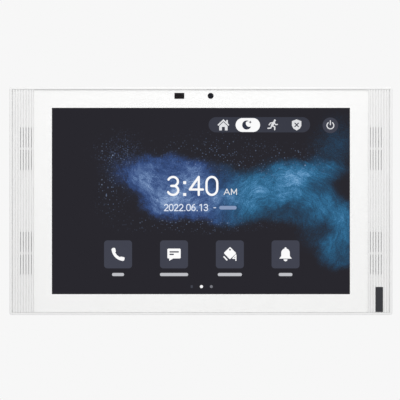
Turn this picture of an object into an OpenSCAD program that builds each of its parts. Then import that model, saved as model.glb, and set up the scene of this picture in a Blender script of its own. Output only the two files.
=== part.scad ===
// Wall-mounted video intercom monitor.
// X runs to the right as seen from the room, Z is up, and the room is on the -Y side.
// The origin is the middle of the wall bracket's back face, which lies on the wall.

/* [Housing] */
// Width of the housing
body_w = 279; // [275:1:285]
// Height of the housing
body_h = 166; // [164:1:170]
// Distance from the wall to the front of the housing
body_d = 26; // [26:0.5:30]
// Thickness of the housing walls
wall = 2; // [1.6:0.1:2.2]
// Width of the rim above and below the glass
rim = 1.6; // [1.4:0.1:1.8]
// Depth of the housing's front half, from the rim to its back edge
front_half_d = 13; // [12:0.5:14]

/* [Glass and display] */
// Width of the cover glass
glass_w = 243.9; // [243:0.1:243.9]
// Thickness of the cover glass
glass_t = 1.2; // [1.1:0.1:1.3]
// Width of the display's lit area
lit_w = 216.96; // [210:0.01:217]
// Height of the display's lit area
lit_h = 135.6; // [130:0.1:136]
// Diameter of the camera's window
camera_window_d = 4.4; // [3:0.1:5]
// Height of the camera and sensor windows above the middle
windows_z = 76.6; // [76:0.1:77]

/* [Grille] */
// Distance between neighbouring grooves
groove_pitch = 1.98; // [1.9:0.01:2]
// Width of a groove
groove_w = 0.7; // [0.5:0.05:0.8]
// Depth of a groove
groove_d = 0.7; // [0.6:0.1:1]
// Number of grooves on each side
groove_count = 8; // [6:1:8]
// Number of those grooves that are slotted for sound
slotted_count = 5; // [3:1:5]
// Length of one sound slot
slot_l = 14.6; // [10:0.1:15]

/* [Wall bracket] */
// Width of the bracket's plate
plate_w = 152; // [150:1:154]
// Height of the bracket's plate
plate_h = 108; // [106:1:110]
// Thickness of the bracket's sheet steel
sheet = 1.5; // [1.2:0.1:1.5]
// How far the monitor lifts before it comes off the hooks
lift = 6; // [5.5:0.1:6]

/* [Terminals] */
// Distance between neighbouring wires in a terminal block
pole_pitch = 3.5; // [3.5:0.01:3.5]
// Poles in the wider terminal block
wide_poles = 8; // [4:1:8]
// Poles in the narrower terminal block
narrow_poles = 6; // [2:1:6]

/* [Hidden] */
$fn = 48;

// Depths. Each layer starts where the one in front of it ends.
y_front = -body_d;
y_glass = y_front + 0.1;
y_film = y_glass + glass_t;
film_t = 0.1;
y_touch = y_film + film_t;
tape_t = 1;
y_shelf = y_touch + tape_t;
shelf_t = 2.2;
y_shelf_back = y_shelf + shelf_t;
touch_t = 1.1;
y_adhesive = y_touch + touch_t;
y_cell = y_adhesive + 0.3;
y_tray = y_cell + 1.15;
y_tray_back = y_tray + 1.5;
y_plate = y_tray_back + 0.1;
y_plate_back = y_plate + 0.8;
y_board = y_plate_back + 1.05;
y_board_back = y_board + 1.6;
y_seam = y_front + front_half_d;
y_boss = y_seam - 1;
y_rear = -0.6;
y_recess = -3.6;
y_recess_inside = y_recess - 1.6;

// The glass, its pocket, and the opening that the display module stands in
glass_h = body_h - 2 * rim - 0.5;
side_gap = 0.05;
end_gap = 0.15;
pocket_w = glass_w + 2 * side_gap;
pocket_h = glass_h + 2 * end_gap;
pocket_wall = 0.9;
opening_x = 115.5;
opening_top = 73;
opening_bottom = -77.6;
module_w = 229.46;
module_top = 72.3;
module_bottom = -76.8;
module_h = module_top - module_bottom;
module_z = (module_top + module_bottom) / 2;
flex_wrap_z = -77.4;

// Windows in the border film
camera_x = 7.1;
sensor_x = -15.7;
sensor_window = [7.2, 4.4];

// Grille. The outermost groove is next to the rim, and the inner grooves are slotted.
groove_x0 = body_w / 2 - 2.2;
slot_w = 0.4;
slot_z = [29.85, 46.25];
chamber_x = pocket_w / 2 + pocket_wall;
speaker_x = 128;
speaker_z = 38;
speaker_size = [13.2, 35];
y_grille = y_front + 1.5;
badge_size = [5.3, 18.2];
badge_at = [129.9, -71.7];

// Fasteners between the housing's halves, and of the plate and the board
boss_x = 119;
boss_z = [-70, 0, 70];
ear_z = [-61.5, -12, 12, 61.5];
board_x = 72;
board_bottom = -6;
board_top = 62;
board_hole = [66, 2, 56];

// Bracket, and the recess that it lies in
hook_x = 62;
hook_z = [26, -34];
hook_w = 12;
hook_lip = 5;
hook_reach = 7;
cable_x = 50;
cable_bottom = -44;
cable_top = -10;
corner_hole = [68, 46];
box_hole = [30, 3];
gang_hole_z = [-49, 34.3];
tongue_w = 16;
tongue_z = -73.5;
lock_y = -6.5;
recess_x = plate_w / 2 + 1.5;
recess_top = plate_h / 2 + 1;
recess_bottom = -plate_h / 2 - lift - 1;
notch_x = 10.5;
notch_top = -71.5;

// Wiring bay
bay_x = 52;
bay_bottom = -46;
bay_top = -8;
bay_wall = 1.5;
y_bay = -16;

// Sockets along the board's lower edge, which open down into the bay
mouth_z = -7.9;
jack_x = -35.5;
jack_size = [16, 11.5, 18];
header_x = [-8.75, 21.25];
header_poles = [wide_poles, narrow_poles];
header_h = 7.2;
header_l = 9.2;
reset_x = 41;
reset_y = y_board_back + 4.5;

// ---------- Shapes that repeat ----------

// Points of an arc about (x, y) from one angle to another.
function arc(x, y, r, from, to, n = 6) =
    [for (i = [0:n]) [x + r * cos(from + (to - from) * i / n), y + r * sin(from + (to - from) * i / n)]];

// A rectangle with round corners, about the origin. Small corners get fewer facets.
module rounded_rect(w, h, r) {
    n = r < 0.5 ? 2 : r < 1.5 ? 4 : 6;
    polygon(concat(
        arc(w / 2 - r, h / 2 - r, r, 0, 90, n),
        arc(-w / 2 + r, h / 2 - r, r, 90, 180, n),
        arc(-w / 2 + r, -h / 2 + r, r, 180, 270, n),
        arc(w / 2 - r, -h / 2 + r, r, 270, 360, n)));
}

// A plate that faces the room, from depth y0 back to y1, about (x, z).
module plate(w, h, r, y0, y1, x = 0, z = 0) {
    translate([x, y1, z])
        rotate([90, 0, 0])
            linear_extrude(y1 - y0)
                rounded_rect(w, h, r);
}

// A box between two opposite corners.
module block(low, high) {
    translate(low)
        cube(high - low);
}

// Round bars along the depth and along the height.
module bar_y(x, z, r, y0, y1) {
    translate([x, y1, z])
        rotate([90, 0, 0])
            cylinder(r = r, h = y1 - y0);
}

module bar_z(x, y, r, z0, z1) {
    translate([x, y, z0])
        cylinder(r = r, h = z1 - z0);
}

// Slots with round ends, through the depth.
module slot_along_x(x, z, r, l, y0, y1) {
    for (end = [-1, 1])
        bar_y(x + end * (l / 2 - r), z, r, y0, y1);
    block([x - l / 2 + r, y0, z - r], [x + l / 2 - r, y1, z + r]);
}

module slot_along_z(x, z, r, l, y0, y1) {
    for (end = [-1, 1])
        bar_y(x, z + end * (l / 2 - r), r, y0, y1);
    block([x - r, y0, z - l / 2 + r], [x + r, y1, z + l / 2 - r]);
}

module both_sides() {
    children();
    mirror([1, 0, 0])
        children();
}

// A pan-head screw driven towards the room, with its head's seat at depth y.
module screw_y(x, z, y, head_r, head_h, r, l) {
    difference() {
        union() {
            bar_y(x, z, head_r, y, y + head_h);
            bar_y(x, z, r, y - l, y + 0.01);
        }
        for (turn = [0, 90])
            translate([x, y + head_h, z])
                rotate([0, turn, 0])
                    cube([head_r * 1.2, head_h, 0.6], center = true);
    }
}

// A wire through the given points. Each ring of corners slides along a leg to the next mitre.
function unit(v) = v / norm(v);
function leg(points, i) = unit(points[i] - points[i - 1]);
function mitre(points, i) =
    i == len(points) - 1 ? leg(points, i) : unit(leg(points, i) + leg(points, i + 1));
function slid_ring(ring, way, at, normal) =
    [for (p = ring) p + way * ((at - p) * normal) / (way * normal)];
function rings(points, ring, i = 1) =
    i == len(points) ? ring : concat(ring,
        rings(points, slid_ring(ring, leg(points, i), points[i], mitre(points, i)), i + 1));

module wire(points, d) {
    sides = 12;
    way = leg(points, 1);
    u = unit(cross(way, abs(way[2]) < 0.9 ? [0, 0, 1] : [1, 0, 0]));
    v = cross(way, u);
    first = [for (j = [0:sides - 1])
        points[0] + d / 2 * (u * cos(j * 360 / sides) + v * sin(j * 360 / sides))];
    last = (len(points) - 1) * sides;
    polyhedron(
        rings(points, first),
        concat(
            [[for (j = [0:sides - 1]) j]],
            [for (i = [0:len(points) - 2], j = [0:sides - 1]) [
                (i + 1) * sides + j,
                (i + 1) * sides + (j + 1) % sides,
                i * sides + (j + 1) % sides,
                i * sides + j]],
            [[for (j = [sides - 1:-1:0]) last + j]]));
}

// A flat flex cable that leaves the display at depth y0, turns under it and climbs behind it.
module wrapped_flex(x0, x1, y0, z0, top_z) {
    t = 0.18;
    y1 = y_board - 0.8;
    block([x0, y0, flex_wrap_z], [x1, y0 + t, z0]);
    block([x0, y0, flex_wrap_z], [x1, y1 + t, flex_wrap_z + t]);
    block([x0, y1, flex_wrap_z], [x1, y1 + t, top_z]);
}

// ---------- Wall bracket ----------

module hook(x, z) {
    block([x - hook_w / 2, -hook_reach, z - sheet], [x + hook_w / 2, 0, z]);
    block([x - hook_w / 2, -hook_reach, z - sheet], [x + hook_w / 2, -hook_reach + sheet, z + hook_lip]);
}

module wall_bracket() {
    color("silver")
    difference() {
        union() {
            difference() {
                plate(plate_w, plate_h, 6, -sheet, 0);
                plate(2 * cable_x, cable_top - cable_bottom, 4, -3, 1, 0, (cable_top + cable_bottom) / 2);
                for (x = [-hook_x, hook_x], z = hook_z)
                    block([x - hook_w / 2 - 0.8, -3, z], [x + hook_w / 2 + 0.8, 1, z + 9]);
            }
            for (x = [-hook_x, hook_x], z = hook_z)
                hook(x, z);
            block([-tongue_w / 2, -sheet, tongue_z], [tongue_w / 2, 0, -plate_h / 2 + 1]);
            block([-tongue_w / 2, lock_y - 4, tongue_z], [tongue_w / 2, 0, tongue_z + sheet]);
        }
        for (x = [-corner_hole[0], corner_hole[0]], z = [-corner_hole[1], corner_hole[1]])
            bar_y(x, z, 2.25, -3, 1);
        for (x = [-box_hole[0], box_hole[0]])
            slot_along_x(x, box_hole[1], 2.1, 9, -3, 1);
        for (z = gang_hole_z)
            slot_along_z(0, z, 2.1, 7, -3, 1);
        bar_z(0, lock_y, 1.7, tongue_z - 1, tongue_z + sheet + 1);
        for (x = [-24, 0, 24])
            plate(16, 6, 2.9, -3, 1, x, 46);
    }
}

module lock_screw() {
    color("gainsboro")
    difference() {
        union() {
            bar_z(0, lock_y, 2.8, tongue_z - 2.2, tongue_z);
            bar_z(0, lock_y, 1.5, tongue_z - 0.01, tongue_z + 8);
        }
        for (turn = [0, 90])
            translate([0, lock_y, tongue_z - 2.2])
                rotate([0, 0, turn])
                    cube([3.6, 0.7, 2.4], center = true);
    }
}

// ---------- Housing ----------

// A groove's section: its upper edges are rounded, so that the ribs between the grooves are too.
module groove_section(depth) {
    r = 0.35;
    polygon(concat(
        [[-groove_w / 2 - r, y_front - 1]],
        arc(-groove_w / 2 - r, y_front + r, r, -90, 0, 3),
        [[-groove_w / 2, y_front + depth], [groove_w / 2, y_front + depth]],
        arc(groove_w / 2 + r, y_front + r, r, 180, 270, 3),
        [[groove_w / 2 + r, y_front - 1]]));
}

// The grooves and slots, and the thin line that goes on from the glass's gap over the ribs' ends.
module grille_cuts() {
    for (side = [-1, 1])
        block([pocket_w / 2 - 0.1, y_front - 1, side * (pocket_h - end_gap) / 2 - end_gap / 2],
            [groove_x0, y_front + 1, side * (pocket_h - end_gap) / 2 + end_gap / 2]);
    for (i = [0:groove_count - 1]) {
        x = groove_x0 - i * groove_pitch;
        translate([x, 0, -pocket_h / 2])
            linear_extrude(pocket_h)
                groove_section(i == 0 ? 1.1 : groove_d);
        if (i >= groove_count - slotted_count)
            for (z = slot_z, half = [-1, 1])
                slot_along_z(x, half * z, slot_w / 2, slot_l, y_front, y_shelf + 1);
    }
}

// The front half's outside, with a softened front edge.
module front_shell() {
    hull() {
        plate(body_w - 1.4, body_h - 1.4, 1.05, y_front, y_front + 0.1);
        plate(body_w - 0.7, body_h - 0.7, 1.35, y_front + 0.15, y_front + 0.25);
        plate(body_w - 0.15, body_h - 0.15, 1.6, y_front + 0.5, y_front + 0.6);
        plate(body_w, body_h, 1.7, y_front + 0.9, y_seam);
    }
}

module front_housing() {
    inside_w = body_w - 2 * wall;
    inside_h = body_h - 2 * wall;
    color("white")
    difference() {
        union() {
            difference() {
                front_shell();
                plate(pocket_w, pocket_h, 0.8, y_front - 1, y_shelf);
                plate(2 * opening_x, opening_top - opening_bottom, 1, y_shelf - 1, y_shelf_back + 1,
                    0, (opening_top + opening_bottom) / 2);
                plate(inside_w, inside_h, 1, y_shelf_back, y_seam + 1);
                both_sides()
                    block([chamber_x, y_grille, -inside_h / 2], [inside_w / 2, y_shelf_back + 1, inside_h / 2]);
            }
            for (x = [-boss_x, boss_x]) {
                for (z = boss_z)
                    bar_y(x, z, 3.25, y_shelf_back - 0.5, y_boss);
                for (z = ear_z)
                    bar_y(x, z, 2.6, y_shelf_back - 0.5, y_plate);
            }
        }
        both_sides()
            grille_cuts();
        for (x = [-boss_x, boss_x]) {
            for (z = boss_z)
                bar_y(x, z, 1.5, y_shelf_back - 0.5, y_boss + 1);
            for (z = ear_z)
                bar_y(x, z, 1.25, y_shelf + 0.6, y_plate + 1);
        }
        plate(8.4, 7.6, 0.3, y_shelf - 1, y_shelf_back + 1, camera_x, windows_z);
        plate(9.8, 7, 0.3, y_shelf - 1, y_shelf_back + 1, sensor_x, windows_z);
        plate(badge_size[0] + 0.1, badge_size[1] + 0.1, 0.3, y_front - 1, y_front + 0.5, badge_at[0], badge_at[1]);
        for (x = [-40, 40])
            bar_z(x, -18, 0.6, -body_h / 2 - 1, -body_h / 2 + wall + 1);
    }
}

// The rear half as a solid, smaller by t on every side and ending at depth y_end.
module rear_form(t, y_end) {
    w = body_w - 2 * wall - 0.6;
    h = body_h - 2 * wall - 0.6;
    slope = 6.3 / 8.4;
    narrowing = 2 * slope * (y_end - (-9));
    hull() {
        plate(w - 2 * t, h - 2 * t, 2, y_seam - 2, -9);
        plate(w - 2 * t - narrowing, h - 2 * t - narrowing, 4, y_end - 0.1, y_end);
    }
}

module vents() {
    for (i = [-16:16]) {
        slot_along_z(i * 6, 66.5, 1.1, 9, -4, 0);
        if (abs(i) > 2)
            slot_along_z(i * 6, -68.5, 1.1, 7, -4, 0);
    }
}

module bay_shell() {
    difference() {
        block([-bay_x - bay_wall, y_bay - bay_wall, bay_bottom - bay_wall],
            [bay_x + bay_wall, y_recess, bay_top + bay_wall]);
        block([-bay_x, y_bay, bay_bottom], [bay_x, 1, bay_top]);
    }
}

// Cut-outs in the bay's upper wall for the sockets and the reset button.
module bay_cuts() {
    clear = 0.3;
    low = y_bay - bay_wall - 0.1;
    block([jack_x - jack_size[0] / 2 - clear, low, bay_top - 0.01],
        [jack_x + jack_size[0] / 2 + clear, y_recess_inside - 0.01, bay_top + bay_wall + 1]);
    for (i = [0, 1]) {
        half = header_poles[i] * pole_pitch / 2 + 0.75 + clear;
        block([header_x[i] - half, low, bay_top - 0.01],
            [header_x[i] + half, y_board_back + header_h + clear, bay_top + bay_wall + 1]);
    }
    bar_z(reset_x, reset_y, 2.5, bay_top - 1, bay_top + bay_wall + 1);
}

module rear_housing() {
    color("whitesmoke")
    difference() {
        union() {
            difference() {
                rear_form(0, y_rear);
                translate([0, -0.02, 0])
                    rear_form(wall, y_rear - wall);
            }
            plate(2 * recess_x + 4, recess_top - recess_bottom + 4, 3, y_recess_inside, y_rear,
                0, (recess_top + recess_bottom) / 2);
            intersection() {
                rear_form(0, y_rear);
                block([-notch_x - wall, y_seam - 0.5, -body_h / 2], [notch_x + wall, y_rear, notch_top + wall]);
            }
            block([-notch_x - wall, y_recess_inside, notch_top], [notch_x + wall, y_rear, recess_bottom]);
            bar_z(0, lock_y, 3.2, notch_top, notch_top + 9);
            bay_shell();
            for (x = [-boss_x, boss_x], z = boss_z)
                bar_y(x, z, 4.25, y_boss, y_rear);
        }
        plate(2 * recess_x, recess_top - recess_bottom, 3, y_recess, 1, 0, (recess_top + recess_bottom) / 2);
        block([-notch_x, y_recess, -body_h / 2], [notch_x, 1, recess_bottom + 5]);
        block([-notch_x, lock_y - 4.5, -body_h / 2], [notch_x, 1, notch_top]);
        bar_z(0, lock_y, 1.55, notch_top - 1, notch_top + 10);
        block([-bay_x, y_bay, bay_bottom], [bay_x, 1, bay_top]);
        bay_cuts();
        for (x = [-hook_x, hook_x], z = hook_z)
            block([x - hook_w / 2 - 1, y_recess_inside - 1, z - sheet - lift - 0.7],
                [x + hook_w / 2 + 1, 0, z + 0.05]);
        for (x = [-boss_x, boss_x], z = boss_z) {
            bar_y(x, z, 1.6, y_boss - 1, y_rear + 1);
            bar_y(x, z, 3.2, y_boss + 1.6, y_rear + 1);
        }
        vents();
    }
}

module housing_screws() {
    color("silver")
    for (x = [-boss_x, boss_x], z = boss_z)
        screw_y(x, z, y_boss + 1.6, 2.8, 2, 1.45, 7.6);
}

module rating_plate() {
    color("lightgray")
    plate(26, 40, 2, y_rear, y_rear + 0.1, 100, 0);
}

module badge_plate() {
    color("#2b2b33")
    plate(badge_size[0], badge_size[1], 0.3, y_front, y_front + 0.5, badge_at[0], badge_at[1]);
}

// ---------- Glass, touch sensor and display ----------

module cover_glass() {
    color("lightcyan")
    hull() {
        plate(glass_w - 0.5, glass_h - 0.5, 0.5, y_glass, y_glass + 0.1);
        plate(glass_w, glass_h, 0.6, y_glass + 0.3, y_film);
    }
}

module border_film() {
    color("white")
    difference() {
        plate(glass_w, glass_h, 0.6, y_film, y_touch);
        plate(lit_w + 0.2, lit_h + 0.2, 0.1, y_film - 1, y_touch + 1);
        bar_y(camera_x, windows_z, camera_window_d / 2, y_film - 1, y_touch + 1);
        plate(sensor_window[0], sensor_window[1], 0.3, y_film - 1, y_touch + 1, sensor_x, windows_z);
    }
}

module glass_tape() {
    color("whitesmoke")
    difference() {
        plate(glass_w - 1, glass_h - 1, 0.4, y_touch, y_shelf);
        plate(2 * opening_x, opening_top - opening_bottom, 1, y_touch - 1, y_shelf + 1,
            0, (opening_top + opening_bottom) / 2);
        plate(8.4, 7.6, 0.3, y_touch - 1, y_shelf + 1, camera_x, windows_z);
        plate(9.8, 7, 0.3, y_touch - 1, y_shelf + 1, sensor_x, windows_z);
    }
}

module touch_sensor() {
    color("lightblue")
    plate(226, 144, 1, y_touch, y_adhesive);
}

module touch_flex() {
    color("darkorange")
    wrapped_flex(30, 52, y_adhesive, -70, board_bottom + 1);
}

module optical_adhesive() {
    color("azure")
    plate(lit_w + 1, lit_h + 1, 1, y_adhesive, y_cell);
}

module lcd_cell() {
    color("#15151a")
    plate(module_w, module_h, 0.5, y_cell, y_cell + 1.1, 0, module_z);
}

module lcd_flex() {
    color("darkorange")
    wrapped_flex(-40, 0, y_cell + 0.4, module_bottom, board_bottom + 1);
}

module diffuser_sheet() {
    color("ivory")
    plate(module_w - 2, module_h - 2, 0.5, y_tray + 0.1, y_tray + 0.35, 0, module_z);
}

module light_guide() {
    color("aliceblue")
    block([-module_w / 2 + 1, y_tray + 0.4, module_bottom + 2.2], [module_w / 2 - 1, y_tray + 1.15, module_top - 1]);
}

module led_strip() {
    color("khaki")
    block([-module_w / 2 + 4, y_tray + 0.4, module_bottom + 0.95], [module_w / 2 - 4, y_tray + 1.15, module_bottom + 2.1]);
}

module backlight_tray() {
    color("silver")
    difference() {
        plate(module_w, module_h, 0.5, y_tray, y_tray_back, 0, module_z);
        plate(module_w - 1.6, module_h - 1.6, 0.3, y_tray - 1, y_tray + 1.2, 0, module_z);
    }
}

module support_plate() {
    color("lightsteelblue")
    difference() {
        union() {
            plate(224, 146, 3, y_plate, y_plate_back, 0, -2.5);
            for (x = [-1, 1], z = ear_z)
                plate(16, 9, 2, y_plate, y_plate_back, x * (boss_x - 4.8), z);
            for (x = [-board_hole[0], board_hole[0]], z = [board_hole[1], board_hole[2]])
                bar_y(x, z, 2.5, y_plate_back - 0.1, y_board);
        }
        for (x = [-boss_x, boss_x], z = ear_z)
            bar_y(x, z, 1.5, y_plate - 1, y_plate_back + 1);
        for (x = [-board_hole[0], board_hole[0]], z = [board_hole[1], board_hole[2]])
            bar_y(x, z, 1.25, y_plate - 1, y_board + 1);
        for (x = [-94, -72, 72, 94], z = [-40, -16, 16, 40])
            plate(14, 16, 3, y_plate - 1, y_plate_back + 1, x + sign(x) * 4, z);
    }
}

module support_screws() {
    color("silver")
    for (x = [-boss_x, boss_x], z = ear_z)
        screw_y(x, z, y_plate_back, 2.3, 1.2, 1.2, 3.2);
}

// ---------- Camera and light sensor ----------

module camera_holder() {
    color("#1a1a1a")
    difference() {
        union() {
            plate(7.6, 7, 0.5, y_shelf + 1.2, y_board + 1.05, camera_x, windows_z);
            bar_y(camera_x, windows_z, 2.6, y_touch + 0.2, y_shelf + 1.3);
        }
        bar_y(camera_x, windows_z, 1.6, y_touch, y_touch + 1.2);
        bar_y(camera_x, windows_z, 1.1, y_touch, y_touch + 4);
    }
}

module camera_lens() {
    color("midnightblue")
    difference() {
        bar_y(camera_x, windows_z, 1.55, y_touch + 0.5, y_touch + 1.2);
        translate([camera_x, y_touch + 0.35 - 4, windows_z])
            sphere(r = 4.02);
    }
}

module camera_board() {
    color("seagreen")
    plate(9, 8.2, 0.4, y_board + 1.05, y_board + 1.65, camera_x, windows_z);
}

module camera_flex() {
    color("darkorange")
    block([camera_x - 3, y_board + 1.65, board_top - 2], [camera_x + 3, y_board + 1.83, windows_z + 3]);
}

module sensor_filter() {
    color("#141414")
    plate(8.8, 5.8, 0.3, y_touch, y_touch + 0.8, sensor_x, windows_z);
}

module sensor_holder() {
    color("#1a1a1a")
    difference() {
        plate(9.4, 6.6, 0.3, y_touch + 0.8, y_touch + 2.4, sensor_x, windows_z);
        plate(7.4, 4.6, 0.3, y_touch, y_touch + 3, sensor_x, windows_z);
    }
}

module sensor_board() {
    color("seagreen")
    union() {
        plate(9.4, 6.6, 0.3, y_touch + 2.4, y_touch + 3.2, sensor_x, windows_z);
        plate(3.6, 2.2, 0.2, y_touch + 1.5, y_touch + 2.5, sensor_x, windows_z);
    }
}

module sensor_flex() {
    color("darkorange")
    union() {
        turn_z = 72.9;
        x0 = sensor_x - 2.5;
        x1 = sensor_x + 2.5;
        y0 = y_touch + 3.2;
        y1 = y_board + 1.65;
        block([x0, y0, turn_z], [x1, y0 + 0.18, windows_z + 2.5]);
        block([x0, y0, turn_z], [x1, y1 + 0.18, turn_z + 0.18]);
        block([x0, y1, board_top - 2], [x1, y1 + 0.18, turn_z + 0.18]);
    }
}

// ---------- Sound ----------

module grille_cloth() {
    color("gainsboro")
    both_sides()
        for (half = [-1, 1])
            plate(11.6, speaker_size[1], 0.5, y_grille, y_grille + 0.3, chamber_x + 5.9, half * speaker_z);
}

// The foam closes three sides of each sound chamber, and the glass pocket's wall closes the fourth.
module speaker_gaskets() {
    color("#3a3a3a")
    both_sides()
        difference() {
            block([chamber_x + 0.1, y_grille + 0.3, speaker_z - speaker_size[1] / 2],
                [speaker_x + speaker_size[0] / 2, y_shelf_back, speaker_z + speaker_size[1] / 2]);
            block([chamber_x - 1, y_grille, speaker_z - speaker_size[1] / 2 + 1.2],
                [speaker_x + speaker_size[0] / 2 - 1.2, y_shelf_back + 1, speaker_z + speaker_size[1] / 2 - 1.2]);
        }
}

module speaker_frames() {
    w = speaker_size[0];
    h = speaker_size[1];
    color("#222222")
    both_sides()
        difference() {
            plate(w, h, 3, y_shelf_back, y_shelf_back + 5, speaker_x, speaker_z);
            plate(w - 2.4, h - 2.4, 3, y_shelf_back - 1, y_shelf_back + 3.4, speaker_x, speaker_z);
            plate(8.6, 22.2, 1, y_shelf_back + 3, y_shelf_back + 6, speaker_x, speaker_z);
        }
}

module speaker_surrounds() {
    w = speaker_size[0] - 2.4;
    h = speaker_size[1] - 2.4;
    color("black")
    both_sides()
        difference() {
            plate(w, h, 3, y_shelf_back + 0.5, y_shelf_back + 0.9, speaker_x, speaker_z);
            plate(w - 1, h - 1, 2.6, y_shelf_back, y_shelf_back + 2, speaker_x, speaker_z);
        }
}

module speaker_magnets() {
    color("slategray")
    both_sides()
        difference() {
            plate(8.4, 22, 1, y_shelf_back + 2, y_shelf_back + 5, speaker_x, speaker_z);
            difference() {
                plate(6.2, 18.8, 2.6, y_shelf_back, y_shelf_back + 4.2, speaker_x, speaker_z);
                plate(4, 16.4, 1.9, y_shelf_back - 1, y_shelf_back + 5, speaker_x, speaker_z);
            }
        }
}

// A dished oblong diaphragm with its voice coil.
module speaker_cone(side) {
    x = side * speaker_x;
    w = speaker_size[0] - 3.7;
    h = speaker_size[1] - 3.7;
    y = y_shelf_back + 0.5;
    color("darkslategray")
    union() {
        difference() {
            plate(w, h, 2.5, y, y + 0.5, x, speaker_z);
            plate(w - 3.6, h - 5, 1, y - 1, y + 0.2, x, speaker_z);
        }
        difference() {
            plate(5.5, 18.1, 2.4, y + 0.4, y + 2.6, x, speaker_z);
            plate(4.8, 17.4, 2.1, y, y + 4, x, speaker_z);
        }
    }
}

module speaker_wires() {
    y0 = y_shelf_back + 4.4;
    y1 = y_board_back + 1.6;
    color("firebrick")
    both_sides()
        for (z = [37, 39])
            wire([
                [speaker_x - speaker_size[0] / 2, y0, z],
                [116, y0, z],
                [110, y1, z],
                [board_x - 1, y1, z]], 1);
}

module microphone_boots() {
    color("black")
    for (x = [-40, 40])
        difference() {
            block([x - 3, -20.4, -body_h / 2 + wall], [x + 3, -15.6, -body_h / 2 + wall + 1.6]);
            bar_z(x, -18, 0.7, -body_h / 2, -body_h / 2 + wall + 3);
        }
}

module microphone_boards() {
    z = -body_h / 2 + wall + 1.6;
    color("seagreen")
    for (x = [-40, 40])
        union() {
            block([x - 4, -20.6, z], [x + 4, -15.4, z + 0.8]);
            block([x - 1.5, -19.2, z + 0.7], [x + 1.5, -16.8, z + 1.6]);
        }
}

module microphone_wires() {
    z0 = -body_h / 2 + wall + 2.4;
    y1 = y_board_back + 1.2;
    color("dimgray")
    both_sides()
        wire([
            [43, -16.4, z0],
            [43, -16.4, z0 + 3],
            [58, y1, z0 + 14],
            [58, y1, board_bottom + 1]], 1);
}

// ---------- Electronics ----------

module main_board() {
    color("darkgreen")
    difference() {
        block([-board_x, y_board, board_bottom], [board_x, y_board_back, board_top]);
        for (x = [-board_hole[0], board_hole[0]], z = [board_hole[1], board_hole[2]])
            bar_y(x, z, 1.5, y_board - 1, y_board_back + 1);
    }
}

module board_screws() {
    color("silver")
    for (x = [-board_hole[0], board_hole[0]], z = [board_hole[1], board_hole[2]])
        screw_y(x, z, y_board_back, 2.5, 1.6, 1.2, 2.6);
}

// Wire-to-board sockets behind the board, and the flex sockets on both of its faces.
module board_sockets() {
    y = y_board_back;
    color("ivory")
    union() {
        for (x = [-board_x + 2.6, board_x - 2.6])
            block([x - 1.6, y, 35], [x + 1.6, y + 4, 41]);
        for (x = [-58, 58])
            block([x - 3, y, board_bottom + 1], [x + 3, y + 3.4, board_bottom + 5.5]);
        for (x = [camera_x, sensor_x])
            block([x - 4, y, board_top - 5], [x + 4, y + 1, board_top - 2]);
        block([-42, y_board - 0.95, board_bottom + 1], [2, y_board, board_bottom + 5]);
        block([29, y_board - 0.95, board_bottom + 1], [53, y_board, board_bottom + 5]);
    }
}

module processor_shield() {
    color("gainsboro")
    plate(34, 34, 1, y_board_back, y_board_back + 2.2, -4, 37);
}

module thermal_pad() {
    color("lightpink")
    plate(28, 28, 0.5, y_board_back + 2.2, y_board_back + 3.2, -4, 37);
}

module heat_sink() {
    y = y_board_back + 3.2;
    color("silver")
    union() {
        block([-25, y, 21], [17, y + 1.5, 53]);
        for (i = [0:10])
            block([-25 + i * 4.1, y + 1.4, 21], [-24 + i * 4.1, y + 5.4, 53]);
    }
}

module power_transformer() {
    y = y_board_back;
    color("goldenrod")
    difference() {
        block([-59, y, 36], [-45, y + 9.4, 50]);
        for (z = [35, 48.5])
            block([-56.5, y + 2.4, z], [-47.5, y + 7.6, z + 2.5]);
    }
}

module network_magnetics() {
    color("#202020")
    block([-43.5, y_board_back, 14], [-27.5, y_board_back + 6, 26]);
}

module capacitors() {
    color("darkslateblue")
    union() {
        bar_y(-51, 8, 4, y_board_back, y_board_back + 9);
        bar_y(-51, 19, 4, y_board_back, y_board_back + 9);
        bar_y(46, 14, 3.15, y_board_back, y_board_back + 7);
        bar_y(46, 22, 3.15, y_board_back, y_board_back + 7);
        bar_y(46, 30, 3.15, y_board_back, y_board_back + 7);
    }
}

module inductors() {
    color("dimgray")
    for (at = [[20, 8], [20, 16], [-34, 32], [-34, 41]])
        plate(7, 7, 1.5, y_board_back, y_board_back + 4, at[0], at[1]);
}

module relays() {
    color("#e8e8e0")
    for (z = [12, 22, 32])
        block([26.5, y_board_back, z - 3.7], [41.5, y_board_back + 9, z + 3.7]);
}

module backup_battery() {
    color("lightgray")
    union() {
        bar_y(54, 48, 6.25, y_board_back + 0.6, y_board_back + 2.6);
        block([47, y_board_back, 45], [61, y_board_back + 0.7, 51]);
    }
}

module radio_module() {
    color("gainsboro")
    plate(12, 12, 0.8, y_board_back, y_board_back + 2.1, 56, 8);
}

// A flex antenna stuck inside the rear half, with its coaxial lead.
module antenna() {
    y_wall = y_rear - wall - 0.02;
    color("#303030")
    union() {
        block([96, y_wall - 0.4, -26], [106, y_wall - 0.02, 12]);
        wire([
            [62, y_board_back + 1.2, 10],
            [76, y_board_back + 1.2, 10],
            [90, y_wall - 1.5, 4],
            [98.5, y_wall - 1, 0]], 1.2);
        block([98, y_wall - 1.5, -2], [102, y_wall - 0.3, 2]);
    }
}

// ---------- Sockets in the wiring bay ----------

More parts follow.
